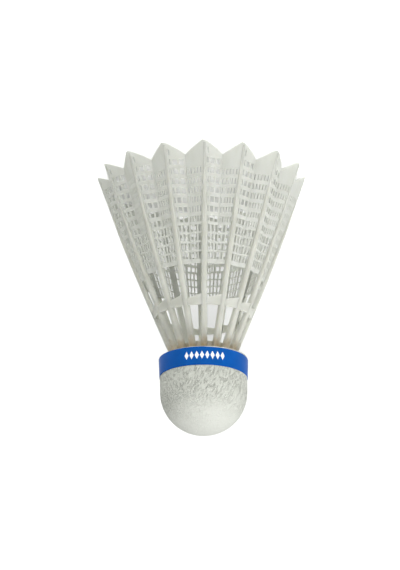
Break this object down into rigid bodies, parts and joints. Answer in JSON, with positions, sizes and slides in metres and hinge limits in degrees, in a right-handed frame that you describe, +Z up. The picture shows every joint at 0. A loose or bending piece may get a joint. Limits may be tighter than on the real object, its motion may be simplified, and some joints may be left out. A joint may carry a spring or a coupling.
{
  "type": "badminton shuttlecock",
  "caption": "Nylon badminton shuttlecock: a pleated, windowed conical skirt of moulded feathers on a round leather-covered cork base with a blue band.",
  "frame": {"origin": "centre of the circle of rim tips that the shuttlecock stands on, cork up", "axes": "+Z up along the shuttlecock's axis, from the rim towards the nose of the cork; +X through one quill"},
  "size_m": [0.065, 0.065, 0.0834],
  "materials": {
    "nylon": "translucent moulded nylon film, satin",
    "quill_nylon": "moulded nylon rib, satin",
    "cork": "ground and bonded cork",
    "leather": "white grained leather, matt",
    "band": "blue printed tape, satin",
    "glue": "dried clear glue, yellowed"
  },
  "bodies": {
    "root": {"cork_core": "cork", "leather_cover": "leather", "base_band": "band", "glue_bead": "glue", "skirt_collar": "nylon", "tie_ring": "nylon", "quill_01": "quill_nylon", "vane_01": "nylon", "quill_02": "quill_nylon", "vane_02": "nylon", "quill_03": "quill_nylon", "vane_03": "nylon", "quill_04": "quill_nylon", "vane_04": "nylon", "quill_05": "quill_nylon", "vane_05": "nylon", "quill_06": "quill_nylon", "vane_06": "nylon", "quill_07": "quill_nylon", "vane_07": "nylon", "quill_08": "quill_nylon", "vane_08": "nylon", "quill_09": "quill_nylon", "vane_09": "nylon", "quill_10": "quill_nylon", "vane_10": "nylon", "quill_11": "quill_nylon", "vane_11": "nylon", "quill_12": "quill_nylon", "vane_12": "nylon", "quill_13": "quill_nylon", "vane_13": "nylon", "quill_14": "quill_nylon", "vane_14": "nylon", "quill_15": "quill_nylon", "vane_15": "nylon", "quill_16": "quill_nylon", "vane_16": "nylon"}
  },
  "joints": []
}
